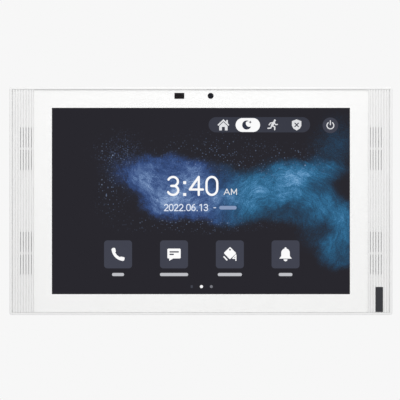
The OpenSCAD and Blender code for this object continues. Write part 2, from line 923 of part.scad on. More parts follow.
module ethernet_jack() {
    y0 = y_board_back;
    y1 = y0 + jack_size[1] - 0.35;
    z1 = mouth_z + jack_size[2] - 0.35;
    color("#1c1c1c")
    difference() {
        block([jack_x - 7.65, y0, mouth_z + 0.1], [jack_x + 7.65, y1, z1]);
        block([jack_x - 5.9, y0 + 1.8, mouth_z - 1], [jack_x + 5.9, y0 + 8.8, mouth_z + 14]);
        block([jack_x - 3.1, y0 + 8.7, mouth_z - 1], [jack_x + 3.1, y1 - 0.8, mouth_z + 9]);
        for (i = [-3.5:1:3.5])
            block([jack_x + i * 1.02 - 0.3, y0 + 1.2, mouth_z + 2], [jack_x + i * 1.02 + 0.3, y0 + 1.9, mouth_z + 12]);
    }
}

module jack_shield() {
    t = 0.3;
    half = jack_size[0] / 2;
    y0 = y_board_back;
    y1 = y0 + jack_size[1];
    z1 = mouth_z + jack_size[2];
    color("silver")
    difference() {
        block([jack_x - half, y0, mouth_z], [jack_x + half, y1, z1]);
        block([jack_x - half + t, y0 - 1, mouth_z - 1], [jack_x + half - t, y1 - t, z1 - t]);
    }
}

// A shrouded header with one square pin for each pole.
module terminal_header(x, poles) {
    half = poles * pole_pitch / 2 + 0.75;
    y0 = y_board_back;
    difference() {
        block([x - half, y0, mouth_z], [x + half, y0 + header_h, mouth_z + header_l]);
        block([x - half + 0.8, y0 + 0.8, mouth_z - 1], [x + half - 0.8, y0 + header_h - 0.8, mouth_z + 7]);
    }
    for (i = [0:poles - 1]) {
        pin_x = x + (i - (poles - 1) / 2) * pole_pitch;
        block([pin_x - 0.5, y0 + 3.1, mouth_z + 1.8], [pin_x + 0.5, y0 + 4.1, mouth_z + 7.5]);
    }
}

module terminal_headers() {
    color("forestgreen")
    for (i = [0, 1])
        terminal_header(header_x[i], header_poles[i]);
}

// A plug with a wire entry, a clamp screw and a pin hole for each pole.
module terminal_plug(x, poles) {
    half = poles * pole_pitch / 2 + 0.45;
    y0 = y_board_back;
    y_top = y0 + 9.6;
    difference() {
        union() {
            block([x - half, y0 + 1.4, mouth_z - 9.6], [x + half, y_top, mouth_z - 0.2]);
            block([x - half + 0.7, y0 + 1.05, mouth_z - 0.3], [x + half - 0.7, y0 + header_h - 1.05, mouth_z + 6.6]);
        }
        for (i = [0:poles - 1]) {
            pole_x = x + (i - (poles - 1) / 2) * pole_pitch;
            bar_z(pole_x, y0 + 5, 1.2, mouth_z - 10, mouth_z - 3.5);
            bar_y(pole_x, mouth_z - 4.6, 1.35, y_top - 1.8, y_top + 1);
            block([pole_x - 0.75, y0 + 2.85, mouth_z + 1.2], [pole_x + 0.75, y0 + 4.35, mouth_z + 7]);
        }
    }
    for (i = [0:poles - 1]) {
        pole_x = x + (i - (poles - 1) / 2) * pole_pitch;
        difference() {
            bar_y(pole_x, mouth_z - 4.6, 1.25, y_top - 1.8, y_top - 0.8);
            block([pole_x - 1.1, y_top - 1.2, mouth_z - 4.85], [pole_x + 1.1, y_top, mouth_z - 4.35]);
        }
    }
}

module terminal_plugs() {
    color("limegreen")
    for (i = [0, 1])
        terminal_plug(header_x[i], header_poles[i]);
}

module reset_switch() {
    color("#252525")
    difference() {
        block([reset_x - 3, y_board_back, board_bottom + 0.5], [reset_x + 3, y_board_back + 7, board_bottom + 5.5]);
        bar_z(reset_x, reset_y, 1.55, board_bottom - 1, board_bottom + 4);
    }
}

module reset_button() {
    color("tomato")
    union() {
        bar_z(reset_x, reset_y, 1.5, board_bottom - 1, board_bottom + 2.4);
        bar_z(reset_x, reset_y, 2.2, bay_top - 1.6, board_bottom - 0.4);
    }
}

// ---------- Parts ----------

wall_bracket();
lock_screw();
front_housing();
rear_housing();
housing_screws();
rating_plate();
badge_plate();
cover_glass();
border_film();
glass_tape();
touch_sensor();
touch_flex();
optical_adhesive();
lcd_cell();
lcd_flex();
diffuser_sheet();
light_guide();
led_strip();
backlight_tray();
support_plate();
support_screws();
camera_holder();
camera_lens();
camera_board();
camera_flex();
sensor_filter();
sensor_holder();
sensor_board();
sensor_flex();
grille_cloth();
speaker_gaskets();
speaker_frames();
speaker_surrounds();
speaker_magnets();
speaker_cone(-1);  // speaker_cone_left
speaker_cone(1);  // speaker_cone_right
speaker_wires();
microphone_boots();
microphone_boards();
microphone_wires();
main_board();
board_screws();
board_sockets();
processor_shield();
thermal_pad();
heat_sink();
power_transformer();
network_magnetics();
capacitors();
inductors();
relays();
backup_battery();
radio_module();
antenna();
ethernet_jack();
jack_shield();
terminal_headers();
terminal_plugs();
reset_switch();
reset_button();
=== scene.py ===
"""The looks of a wall-hung video intercom monitor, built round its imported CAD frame.

The frame is in metres: +X to the right as seen from the room, +Y into the wall, +Z up. Lengths in the
materials and in the display's picture are in millimetres, and MM turns them into metres. The room's lamps,
floor and camera are placed in metres.
"""

import math

import bmesh
import bpy
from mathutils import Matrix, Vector


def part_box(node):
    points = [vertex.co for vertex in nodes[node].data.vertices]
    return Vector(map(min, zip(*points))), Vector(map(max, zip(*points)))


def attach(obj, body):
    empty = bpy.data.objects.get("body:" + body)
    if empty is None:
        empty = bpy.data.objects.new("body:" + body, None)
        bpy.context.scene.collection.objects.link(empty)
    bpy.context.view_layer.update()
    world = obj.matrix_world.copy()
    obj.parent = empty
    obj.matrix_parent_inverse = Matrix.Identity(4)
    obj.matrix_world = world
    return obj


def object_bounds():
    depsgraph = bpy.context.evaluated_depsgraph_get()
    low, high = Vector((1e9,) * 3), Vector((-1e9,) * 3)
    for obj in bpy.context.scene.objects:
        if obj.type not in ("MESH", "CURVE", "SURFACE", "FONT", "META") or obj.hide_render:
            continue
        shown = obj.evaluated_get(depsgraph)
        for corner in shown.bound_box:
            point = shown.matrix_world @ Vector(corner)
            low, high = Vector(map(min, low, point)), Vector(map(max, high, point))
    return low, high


MM = 0.001
# The body that the display's picture rides on.
BODY = "monitor"

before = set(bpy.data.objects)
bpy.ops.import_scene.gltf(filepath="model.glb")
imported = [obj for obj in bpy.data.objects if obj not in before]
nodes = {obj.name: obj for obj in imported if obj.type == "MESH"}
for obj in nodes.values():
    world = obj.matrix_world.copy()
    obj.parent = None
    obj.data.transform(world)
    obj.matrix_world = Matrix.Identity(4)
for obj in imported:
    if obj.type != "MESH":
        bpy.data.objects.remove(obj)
cad_low, cad_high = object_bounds()


# ---------- Colours and shader nodes ----------

def display(r, g, b):
    """A colour in display values from 0 to 255, turned into linear light."""
    def linear(v):
        v /= 255
        return v / 12.92 if v <= 0.04045 else ((v + 0.055) / 1.055) ** 2.4
    return linear(r), linear(g), linear(b), 1.0


def shaded(colour, factor):
    """The colour made darker or lighter by this factor."""
    return tuple(min(1.0, c * factor) for c in colour[:3]) + (1.0,)


def new_material(name, colour, roughness, metallic=0.0, **plain):
    """A material with one Principled node, and the node's plain values."""
    mat = bpy.data.materials.new(name)
    mat.use_nodes = True
    shader = mat.node_tree.nodes["Principled BSDF"]
    shader.inputs["Base Color"].default_value = colour
    shader.inputs["Roughness"].default_value = roughness
    shader.inputs["Metallic"].default_value = metallic
    for socket, value in plain.items():
        shader.inputs[socket.replace("_", " ")].default_value = value
    mat.diffuse_color = colour
    return mat, shader


def add(mat, kind, **settings):
    """A new node in the node tree of a material or a world."""
    node = mat.node_tree.nodes.new(kind)
    for key, value in settings.items():
        setattr(node, key, value)
    return node


def link(mat, out, into):
    mat.node_tree.links.new(out, into)


def feed(mat, value, socket):
    """A node's output linked into the socket, or a plain value set on it."""
    if isinstance(value, bpy.types.NodeSocket):
        link(mat, value, socket)
    else:
        socket.default_value = value


def coordinates(mat, stretch=(1, 1, 1), turn=(0, 0, 0)):
    """Object coordinates in millimetres, stretched and turned."""
    texture = add(mat, "ShaderNodeTexCoord")
    mapping = add(mat, "ShaderNodeMapping")
    mapping.inputs["Scale"].default_value = [s / MM for s in stretch]
    mapping.inputs["Rotation"].default_value = turn
    link(mat, texture.outputs["Object"], mapping.inputs["Vector"])
    return mapping.outputs["Vector"]


def noise(mat, where, size, detail=3.0, roughness=0.55):
    """Noise whose features are about size millimetres across."""
    node = add(mat, "ShaderNodeTexNoise")
    node.inputs["Scale"].default_value = 1 / size
    node.inputs["Detail"].default_value = detail
    node.inputs["Roughness"].default_value = roughness
    link(mat, where, node.inputs["Vector"])
    return node.outputs["Fac"]


def spread(mat, value, low, high, start=0.3, end=0.7):
    """value from start to end, spread over low to high."""
    node = add(mat, "ShaderNodeMapRange")
    node.inputs["From Min"].default_value = start
    node.inputs["From Max"].default_value = end
    node.inputs["To Min"].default_value = low
    node.inputs["To Max"].default_value = high
    link(mat, value, node.inputs["Value"])
    return node.outputs["Result"]


def ramp(mat, value, stops):
    """The colour at value on a ramp. stops holds a place from 0 to 1 and a colour each."""
    node = add(mat, "ShaderNodeValToRGB")
    points = node.color_ramp.elements
    points[0].position, points[0].color = stops[0]
    points[1].position, points[1].color = stops[-1]
    for place, colour in stops[1:-1]:
        points.new(place).color = colour
    link(mat, value, node.inputs["Fac"])
    return node.outputs["Color"]


def blend(mat, share, first, second):
    """A mix of two colours. Each may be a socket or a plain colour."""
    node = add(mat, "ShaderNodeMix", data_type="RGBA")
    feed(mat, share, node.inputs[0])
    feed(mat, first, node.inputs[6])
    feed(mat, second, node.inputs[7])
    return node.outputs[2]


def arithmetic(mat, operation, first, second=0.0, clamp=False):
    """One Math node. Each of its two values may be a socket or a number."""
    node = add(mat, "ShaderNodeMath", operation=operation, use_clamp=clamp)
    feed(mat, first, node.inputs[0])
    feed(mat, second, node.inputs[1])
    return node.outputs[0]


def total(mat, values, operation="ADD"):
    """Sockets joined two by two with one operation."""
    result = values[0]
    for value in values[1:]:
        result = arithmetic(mat, operation, result, value)
    return result


def emboss(mat, shader, height, depth, strength=1.0):
    """Bumps of depth millimetres."""
    node = add(mat, "ShaderNodeBump")
    node.inputs["Distance"].default_value = depth * MM
    node.inputs["Strength"].default_value = strength
    link(mat, height, node.inputs["Height"])
    link(mat, node.outputs["Normal"], shader.inputs["Normal"])


# ---------- Materials ----------

def moulded(name, colour, roughness, grain, depth, uneven=0.02, **plain):
    """Moulded plastic or rubber: a fine grain of this size and depth, and slightly uneven colour and gloss."""
    mat, shader = new_material(name, colour, roughness, **plain)
    where = coordinates(mat)
    broad = noise(mat, where, 45, 4)
    fine = noise(mat, where, grain, 2)
    tint = ramp(mat, broad, [(0.3, shaded(colour, 1 - uneven)), (0.7, shaded(colour, 1 + uneven))])
    link(mat, tint, shader.inputs["Base Color"])
    link(mat, spread(mat, fine, roughness - 0.06, roughness + 0.06), shader.inputs["Roughness"])
    emboss(mat, shader, fine, depth)
    return mat


def metal(name, colour, roughness, stretch=(1, 1, 1), grain=0.6):
    """Metal: streaks where stretch is uneven, and cloudy plating where it isn't."""
    mat, shader = new_material(name, colour, roughness, 1.0)
    where = coordinates(mat, stretch)
    streak = noise(mat, where, grain, 4, 0.6)
    cloud = noise(mat, coordinates(mat), 14, 3)
    tint = ramp(mat, cloud, [(0.25, shaded(colour, 0.92)), (0.75, shaded(colour, 1.08))])
    link(mat, tint, shader.inputs["Base Color"])
    link(mat, spread(mat, streak, roughness - 0.09, roughness + 0.12), shader.inputs["Roughness"])
    emboss(mat, shader, streak, 0.006)
    return mat


# Glass's index of refraction, and the share of light that it throws back straight on.
GLASS_IOR = 1.45
STRAIGHT_ON = ((GLASS_IOR - 1) / (GLASS_IOR + 1)) ** 2


def clear(name, mirror=0.0):
    """A clear sheet with a coating against glare: it lets everything straight through, and the side that light
    meets throws back a mirror image that grows with the slant, up to this share. Smudges make it uneven."""
    mat, shader = new_material(name, (0.02, 0.02, 0.02, 1), 0.04)
    mat.node_tree.nodes.remove(shader)
    through = add(mat, "ShaderNodeBsdfTransparent")
    gloss = add(mat, "ShaderNodeBsdfGlossy")
    link(mat, spread(mat, noise(mat, coordinates(mat), 18, 5), 0.02, 0.06), gloss.inputs["Roughness"])
    fresnel = add(mat, "ShaderNodeFresnel")
    fresnel.inputs["IOR"].default_value = GLASS_IOR
    slanted = spread(mat, fresnel.outputs[0], 0.0, mirror, STRAIGHT_ON * 1.03, 1.0)
    side = add(mat, "ShaderNodeNewGeometry")
    front = arithmetic(mat, "SUBTRACT", 1.0, side.outputs["Backfacing"])
    seen = add(mat, "ShaderNodeLightPath").outputs["Is Camera Ray"]
    mix = add(mat, "ShaderNodeMixShader")
    link(mat, total(mat, [slanted, front, seen], "MULTIPLY"), mix.inputs[0])
    link(mat, through.outputs[0], mix.inputs[1])
    link(mat, gloss.outputs[0], mix.inputs[2])
    link(mat, mix.outputs[0], mat.node_tree.nodes["Material Output"].inputs["Surface"])
    return mat


def circuit_board(name, mask):
    """Solder mask over copper: darker ground, and lighter tracks in square runs."""
    mat, shader = new_material(name, mask, 0.35)
    where = coordinates(mat)
    tracks = add(mat, "ShaderNodeTexBrick", offset=0.5, squash=1.0)
    tracks.inputs["Scale"].default_value = 0.35
    tracks.inputs["Mortar Size"].default_value = 0.035
    tracks.inputs["Color1"].default_value = mask
    tracks.inputs["Color2"].default_value = shaded(mask, 0.85)
    tracks.inputs["Mortar"].default_value = shaded(mask, 2.1)
    link(mat, coordinates(mat, turn=(math.pi / 2, 0, 0)), tracks.inputs["Vector"])
    colour = blend(mat, spread(mat, noise(mat, where, 9, 2), 0.0, 1.0), mask, tracks.outputs["Color"])
    link(mat, colour, shader.inputs["Base Color"])
    link(mat, spread(mat, noise(mat, where, 1.4, 2), 0.28, 0.45), shader.inputs["Roughness"])
    emboss(mat, shader, tracks.outputs["Fac"], 0.02, 0.5)
    return mat


def film_circuit(name, colour):
    """Amber film with copper lines along it."""
    mat, shader = new_material(name, colour, 0.3)
    where = coordinates(mat)
    lines = add(mat, "ShaderNodeTexWave", wave_type="BANDS", bands_direction="X", wave_profile="SIN")
    lines.inputs["Scale"].default_value = 0.45
    link(mat, where, lines.inputs["Vector"])
    tint = ramp(mat, lines.outputs["Fac"], [(0.35, shaded(colour, 0.6)), (0.6, shaded(colour, 1.25))])
    link(mat, tint, shader.inputs["Base Color"])
    link(mat, spread(mat, noise(mat, where, 3), 0.22, 0.4), shader.inputs["Roughness"])
    return mat


def woven(name, colour):
    """Acoustic cloth: two crossing sets of threads, with painted shade that darkens the hollows between them
    and lightens their tops.
    """
    mat, shader = new_material(name, colour, 0.9)
    heights = []
    for direction in ("X", "Z"):
        wave = add(mat, "ShaderNodeTexWave", wave_type="BANDS", bands_direction=direction, wave_profile="SIN")
        wave.inputs["Scale"].default_value = 1.4
        wave.inputs["Distortion"].default_value = 0.6
        link(mat, coordinates(mat), wave.inputs["Vector"])
        heights.append(wave.outputs["Fac"])
    height = arithmetic(mat, "MULTIPLY", *heights)
    # Painted shade: the colour follows the weave's height, darker in the hollows between threads and lighter
    # where they cross on top.
    tint = ramp(mat, height, [(0.1, shaded(colour, 0.7)), (0.8, shaded(colour, 1.2))])
    link(mat, tint, shader.inputs["Base Color"])
    emboss(mat, shader, height, 0.08)
    return mat


def wound(name, tape):
    """A wound coil's tape: overlapping turns, with painted shade that darkens each turn where it lies low
    beside the step and lightens it towards its raised edge.
    """
    mat, shader = new_material(name, tape, 0.35)
    where = coordinates(mat)
    turns = add(mat, "ShaderNodeTexWave", wave_type="BANDS", bands_direction="Z", wave_profile="SAW")
    turns.inputs["Scale"].default_value = 0.12
    link(mat, where, turns.inputs["Vector"])
    # Painted shade: each turn darkens towards its low side next to the step and lightens towards its raised
    # edge.
    tint = ramp(mat, turns.outputs["Fac"], [(0.0, shaded(tape, 0.72)), (1.0, shaded(tape, 1.12))])
    link(mat, tint, shader.inputs["Base Color"])
    link(mat, spread(mat, noise(mat, where, 1), 0.28, 0.45), shader.inputs["Roughness"])
    emboss(mat, shader, turns.outputs["Fac"], 0.05)
    return mat


def glowing(name, colour):
    """A lit part of the display's picture: one colour, as uneven as the backlight behind it."""
    mat, shader = new_material(name, (0, 0, 0, 1), 0.5)
    shader.inputs["Specular IOR Level"].default_value = 0.0
    shader.inputs["Emission Strength"].default_value = 1.0
    backlight = noise(mat, coordinates(mat), 25, 3)
    tint = ramp(mat, backlight, [(0.3, shaded(colour, 0.96)), (0.7, shaded(colour, 1.03))])
    link(mat, tint, shader.inputs["Emission Color"])
    return mat


# The picture behind the controls is fine coloured powder that drifts in the dark. Each oval of powder is
# its centre x and z, half width, half height, turn in degrees, thickness, and how softly its edge fades.
POWDER = [
    (-23, 18, 35, 23, -4, 0.48, 0.5),
    (-50, 24, 26, 20, 8, 0.24, 1.0),
    (-58, 20, 26, 26, 0, 0.11, 1.0),
    (-38, 7, 28, 18, -30, 0.27, 0.9),
    (-22, -4, 30, 14, -4, 0.58, 0.8),
    (-2, 4, 36, 20, -10, 0.32, 0.8),
    (12, 16, 34, 18, -10, 0.30, 0.6),
    (18, -6, 32, 17, -8, 0.38, 0.6),
    (34, 8, 22, 20, 10, 0.36, 0.8),
    (56, 13, 32, 21, 8, 0.62, 0.8),
    (68, 19, 24, 13, -8, 0.28, 0.8),
    (82, 8, 27, 20, -35, 0.38, 0.7),
    (88, 24, 28, 11, -6, 0.34, 0.8),
    (101, -8, 20, 15, -55, 0.34, 0.7),
    (107, -17, 18, 18, 0, 0.34, 0.8),
    (101, -36, 20, 18, 0, 0.38, 0.6),
    (62, -4, 46, 17, -6, 0.27, 0.6),
    (98, 40, 26, 34, -24, 0.25, 1.0),
    (88, -22, 26, 22, 0, 0.20, 0.8),
]
# Ovals in which loose specks show: centre x and z, half width, half height.
LOOSE = [(-60, 34, 28, 22), (10, 34, 64, 20), (0, -16, 84, 10), (-64, 6, 18, 26), (62, 27, 52, 20)]
# The oval in which the finest ones lie close together.
DUSTY = (-57, 30, 24, 22)
BACKDROP = display(41, 40, 46)
# What thin to thick powder looks like, in the left cloud and in the right one.
BLUE = [(0.0, BACKDROP), (0.15, display(43, 46, 58)), (0.3, display(47, 58, 88)),
        (0.45, display(52, 75, 122)), (0.6, display(66, 89, 137)), (0.75, display(84, 110, 155)),
        (0.9, display(101, 128, 173)), (1.05, display(121, 146, 188)), (1.4, display(158, 182, 215))]
TEAL = [(0.0, BACKDROP), (0.15, display(41, 52, 67)), (0.3, display(41, 66, 90)),
        (0.45, display(43, 83, 114)), (0.6, display(47, 99, 136)), (0.75, display(54, 112, 152)),
        (0.9, display(70, 126, 168)), (1.05, display(90, 144, 188)), (1.4, display(128, 174, 212))]
SPECK, DUST, STAR = display(120, 140, 175), display(86, 106, 150), display(160, 180, 215)
# Where the blue cloud has turned into the teal one, from this x to that one.
TURN_START, TURN_END = 0, 36


def oval_mask(mat, where, x, z, half_w, half_h, turn=0.0, fade=1.0):
    """1 in the middle of the oval, falling to 0 at its edge over this share of its radius."""
    mapping = add(mat, "ShaderNodeMapping", vector_type="TEXTURE")
    mapping.inputs["Location"].default_value = (x, 0, z)
    mapping.inputs["Rotation"].default_value = (0, -math.radians(turn), 0)
    mapping.inputs["Scale"].default_value = (half_w, 1000, half_h)
    link(mat, where, mapping.inputs["Vector"])
    oval = add(mat, "ShaderNodeTexGradient", gradient_type="SPHERICAL")
    link(mat, mapping.outputs["Vector"], oval.inputs["Vector"])
    return smooth(mat, oval.outputs["Fac"], 0.0, fade)


def smooth(mat, value, start, end):
    """0 below start, 1 above end, and a smooth slope between them."""
    node = add(mat, "ShaderNodeMapRange", interpolation_type="SMOOTHSTEP")
    node.inputs["From Min"].default_value = start
    node.inputs["From Max"].default_value = end
    link(mat, value, node.inputs["Value"])
    return node.outputs["Result"]


def drifted(mat, where, size, reach, detail, roughness=0.6):
    """Coordinates pushed about by noise, so that shapes drawn with them drift like smoke."""
    node = add(mat, "ShaderNodeTexNoise")
    node.inputs["Scale"].default_value = 1 / size
    node.inputs["Detail"].default_value = detail
    node.inputs["Roughness"].default_value = roughness
    link(mat, where, node.inputs["Vector"])
    centred = add(mat, "ShaderNodeVectorMath", operation="SUBTRACT")
    centred.inputs[1].default_value = (0.5, 0.5, 0.5)
    link(mat, node.outputs["Color"], centred.inputs[0])
    scaled = add(mat, "ShaderNodeVectorMath", operation="SCALE")
    scaled.inputs["Scale"].default_value = reach
    link(mat, centred.outputs[0], scaled.inputs[0])
    moved_by = add(mat, "ShaderNodeVectorMath", operation="ADD")
    link(mat, where, moved_by.inputs[0])
    link(mat, scaled.outputs[0], moved_by.inputs[1])
    return moved_by.outputs[0]


def threads(mat, where, x, z, width, length):
    """Noise drawn out into threads of this width and length that curl round the point (x, z)."""
    split = add(mat, "ShaderNodeSeparateXYZ")
    link(mat, where, split.inputs[0])
    across = arithmetic(mat, "SUBTRACT", split.outputs["X"], x)
    up = arithmetic(mat, "SUBTRACT", split.outputs["Z"], z)
    squares = [arithmetic(mat, "MULTIPLY", value, value) for value in (across, up)]
    radius = arithmetic(mat, "SQRT", arithmetic(mat, "ADD", *squares))
    angle = arithmetic(mat, "ARCTAN2", across, up)
    join = add(mat, "ShaderNodeCombineXYZ")
    link(mat, arithmetic(mat, "DIVIDE", radius, width), join.inputs["X"])
    link(mat, arithmetic(mat, "MULTIPLY", angle, 35 / length), join.inputs["Y"])
    return noise(mat, join.outputs[0], 1, 4, 0.6)


def sparkle(mat, where, cell, radius, rarity):
    """Small bright specks, one in each cell, most of them hidden."""
    cells = add(mat, "ShaderNodeTexVoronoi", feature="F1")
    cells.inputs["Scale"].default_value = 1 / cell
    link(mat, where, cells.inputs["Vector"])
    near = spread(mat, cells.outputs["Distance"], 1.0, 0.0, 0.0, radius / cell)
    split = add(mat, "ShaderNodeSeparateColor")
    link(mat, cells.outputs["Color"], split.inputs[0])
    chosen = spread(mat, split.outputs[0], 0.0, 1.0, rarity, 1.0)
    return arithmetic(mat, "MULTIPLY", near, chosen, clamp=True)


def powder_colour(mat, thickness, stops):
    """The colour of powder of this thickness."""
    thickest = stops[-1][0]
    share = arithmetic(mat, "DIVIDE", thickness, thickest)
    return ramp(mat, share, [(t / thickest, colour) for t, colour in stops])


def wallpaper(name):
    """The picture behind the controls."""
    mat = glowing(name, BACKDROP)
    shader = mat.node_tree.nodes["Principled BSDF"]
    where = coordinates(mat, stretch=(1, 0.001, 1))
    wind = drifted(mat, where, size=24, reach=12, detail=3)
    eddies = drifted(mat, wind, size=9, reach=7, detail=4, roughness=0.65)
    smoke = drifted(mat, wind, size=6, reach=7, detail=8, roughness=0.75)
    thickness = total(mat, [arithmetic(mat, "MULTIPLY", oval_mask(mat, smoke, *oval, fade), most)
                            for *oval, most, fade in POWDER])
    split = add(mat, "ShaderNodeSeparateXYZ")
    link(mat, wind, split.inputs[0])
    side = smooth(mat, split.outputs["X"], TURN_START, TURN_END)
    # Curls and threads make the powder thicker and thinner, and grain breaks it up.
    curls = noise(mat, smoke, 7, 9, 0.7)
    blue_threads = threads(mat, eddies, -14, 36, width=1.8, length=10)
    teal_threads = threads(mat, eddies, 60, -22, width=1.5, length=9)
    along = blend(mat, side, blue_threads, teal_threads)
    grain = noise(mat, where, 0.7, 2, 0.8)
    uneven = total(mat, [spread(mat, curls, 0.5, 1.5, 0.2, 0.8), spread(mat, along, 0.6, 1.4, 0.2, 0.8),
                         spread(mat, grain, 0.5, 1.5, 0.2, 0.8)], "MULTIPLY")
    powder = arithmetic(mat, "MULTIPLY", thickness, uneven)
    # Thin powder breaks up into wisps and grains.
    wisps = arithmetic(mat, "ADD", spread(mat, noise(mat, smoke, 3, 8, 0.75), -0.2, 0.2, 0.2, 0.8),
                       spread(mat, grain, -0.3, 0.3, 0.2, 0.8))
    whole = smooth(mat, arithmetic(mat, "ADD", thickness, wisps), 0.0, 0.25)
    powder = arithmetic(mat, "MULTIPLY", powder, whole)
    colour = blend(mat, side, powder_colour(mat, powder, BLUE), powder_colour(mat, powder, TEAL))
    halo = total(mat, [oval_mask(mat, wind, *oval) for oval in LOOSE], "MAXIMUM")
    dusty = oval_mask(mat, eddies, *DUSTY)
    # Grains that lie about loose: their cell, radius and rarity, where they lie, and their colour.
    for cell, radius, rarity, place, tint in ((1.3, 0.52, 0.5, halo, SPECK), (0.9, 0.45, 0.2, dusty, DUST),
                                              (4, 0.7, 0.5, halo, STAR)):
        grains = sparkle(mat, where, cell, radius, rarity)
        colour = blend(mat, arithmetic(mat, "MULTIPLY", grains, place, clamp=True), colour, tint)
    link(mat, colour, shader.inputs["Emission Color"])
    return mat


# The finishes, by the names that NODE_LOOKS uses.
LOOKS = {
    "housing": moulded("white_satin", (0.845, 0.845, 0.843, 1), 0.38, grain=0.3, depth=0.006, uneven=0.006),
    "back": moulded("white_grained", (0.84, 0.84, 0.83, 1), 0.5, grain=0.45, depth=0.03, uneven=0.012),
    "zinc": metal("zinc_plate", (0.66, 0.67, 0.69, 1), 0.36, stretch=(0.12, 1, 1), grain=0.5),
    "screw": metal("screw_steel", (0.58, 0.59, 0.61, 1), 0.28, grain=0.3),
    "glass": clear("cover_glass", 0.9),
    "film": moulded("white_print", (0.9, 0.9, 0.895, 1), 0.35, grain=0.2, depth=0.001, uneven=0.004),
    "badge": moulded("badge", display(26, 28, 36), 0.3, grain=0.25, depth=0.003, uneven=0.1),
    "label": moulded("label", (0.70, 0.71, 0.72, 1), 0.45, grain=0.5, depth=0.004, uneven=0.02),
    "foam": moulded("foam", (0.05, 0.05, 0.05, 1), 0.85, grain=0.5, depth=0.12, uneven=0.2),
    "tape": moulded("white_foam", (0.82, 0.82, 0.81, 1), 0.8, grain=0.5, depth=0.05, uneven=0.03),
    "sheet": clear("clear_sheet"),
    "panel": moulded("panel", (0.012, 0.012, 0.016, 1), 0.2, grain=1.0, depth=0.001, uneven=0.1),
    "flex": film_circuit("amber_flex", (0.55, 0.28, 0.06, 1)),
    "diffuser": moulded("diffuser", (0.92, 0.92, 0.9, 1), 0.6, grain=0.3, depth=0.01),
    "guide": moulded("light_guide", (0.84, 0.88, 0.9, 1), 0.12, grain=1.2, depth=0.006),
    "leds": moulded("led_strip", (0.82, 0.76, 0.42, 1), 0.4, grain=1.5, depth=0.05, uneven=0.25),
    "tray": metal("tray", (0.74, 0.75, 0.76, 1), 0.32, stretch=(1, 1, 0.08)),
    "black": moulded("black_plastic", (0.022, 0.022, 0.024, 1), 0.5, grain=0.4, depth=0.02, uneven=0.15),
    "dull": moulded("dull_black", (0.008, 0.008, 0.009, 1), 0.7, grain=0.3, depth=0.01, uneven=0.15,
                    Specular_IOR_Level=0.15),
    "lens": moulded("lens", (0.004, 0.005, 0.012, 1), 0.1, grain=2.0, depth=0.0005, uneven=0.2,
                    Specular_IOR_Level=0.15),
    "board": circuit_board("green_board", (0.015, 0.13, 0.055, 1)),
    "filter": moulded("sensor_filter", (0.006, 0.004, 0.005, 1), 0.2, grain=1.5, depth=0.0005, uneven=0.2,
                      Specular_IOR_Level=0.15),
    "cloth": woven("grille_cloth", (0.90, 0.90, 0.90, 1)),
    "rubber": moulded("rubber", (0.02, 0.02, 0.02, 1), 0.75, grain=0.3, depth=0.03, uneven=0.15),
    "magnet": metal("magnet", (0.42, 0.43, 0.45, 1), 0.3),
    "cone": moulded("cone", (0.03, 0.032, 0.036, 1), 0.6, grain=0.35, depth=0.04, uneven=0.2),
    "red_lead": moulded("red_lead", (0.45, 0.02, 0.02, 1), 0.45, grain=0.6, depth=0.01, uneven=0.08),
    "black_lead": moulded("black_lead", (0.03, 0.03, 0.03, 1), 0.5, grain=0.6, depth=0.01, uneven=0.1),
    "ivory": moulded("ivory_plastic", (0.80, 0.76, 0.64, 1), 0.45, grain=0.5, depth=0.01, uneven=0.04),
    "tin": metal("tin_plate", (0.72, 0.73, 0.74, 1), 0.22, stretch=(1, 1, 0.3), grain=0.8),
    "pad": moulded("thermal_pad", (0.60, 0.32, 0.35, 1), 0.8, grain=0.4, depth=0.03, uneven=0.08),
    "sink": metal("heat_sink", (0.68, 0.69, 0.71, 1), 0.34, stretch=(1, 1, 0.05)),
    "wound": wound("wound_tape", (0.72, 0.48, 0.06, 1)),
    "chip": moulded("chip", (0.03, 0.03, 0.033, 1), 0.55, grain=0.3, depth=0.015, uneven=0.12),
    "sleeve": moulded("sleeve", (0.03, 0.04, 0.14, 1), 0.3, grain=1.0, depth=0.008, uneven=0.1),
    "ferrite": moulded("ferrite", (0.07, 0.07, 0.075, 1), 0.7, grain=0.3, depth=0.03, uneven=0.2),
    "relay": moulded("relay_case", (0.78, 0.78, 0.72, 1), 0.35, grain=0.6, depth=0.006, uneven=0.03),
    "cell": metal("cell", (0.70, 0.70, 0.70, 1), 0.25),
    "terminal": moulded("terminal", (0.03, 0.27, 0.09, 1), 0.42, grain=0.4, depth=0.012, uneven=0.06),
    "plug": moulded("plug", (0.05, 0.36, 0.13, 1), 0.42, grain=0.4, depth=0.012, uneven=0.06),
    "reset": moulded("reset_cap", (0.62, 0.06, 0.04, 1), 0.35, grain=0.4, depth=0.008, uneven=0.06),
}

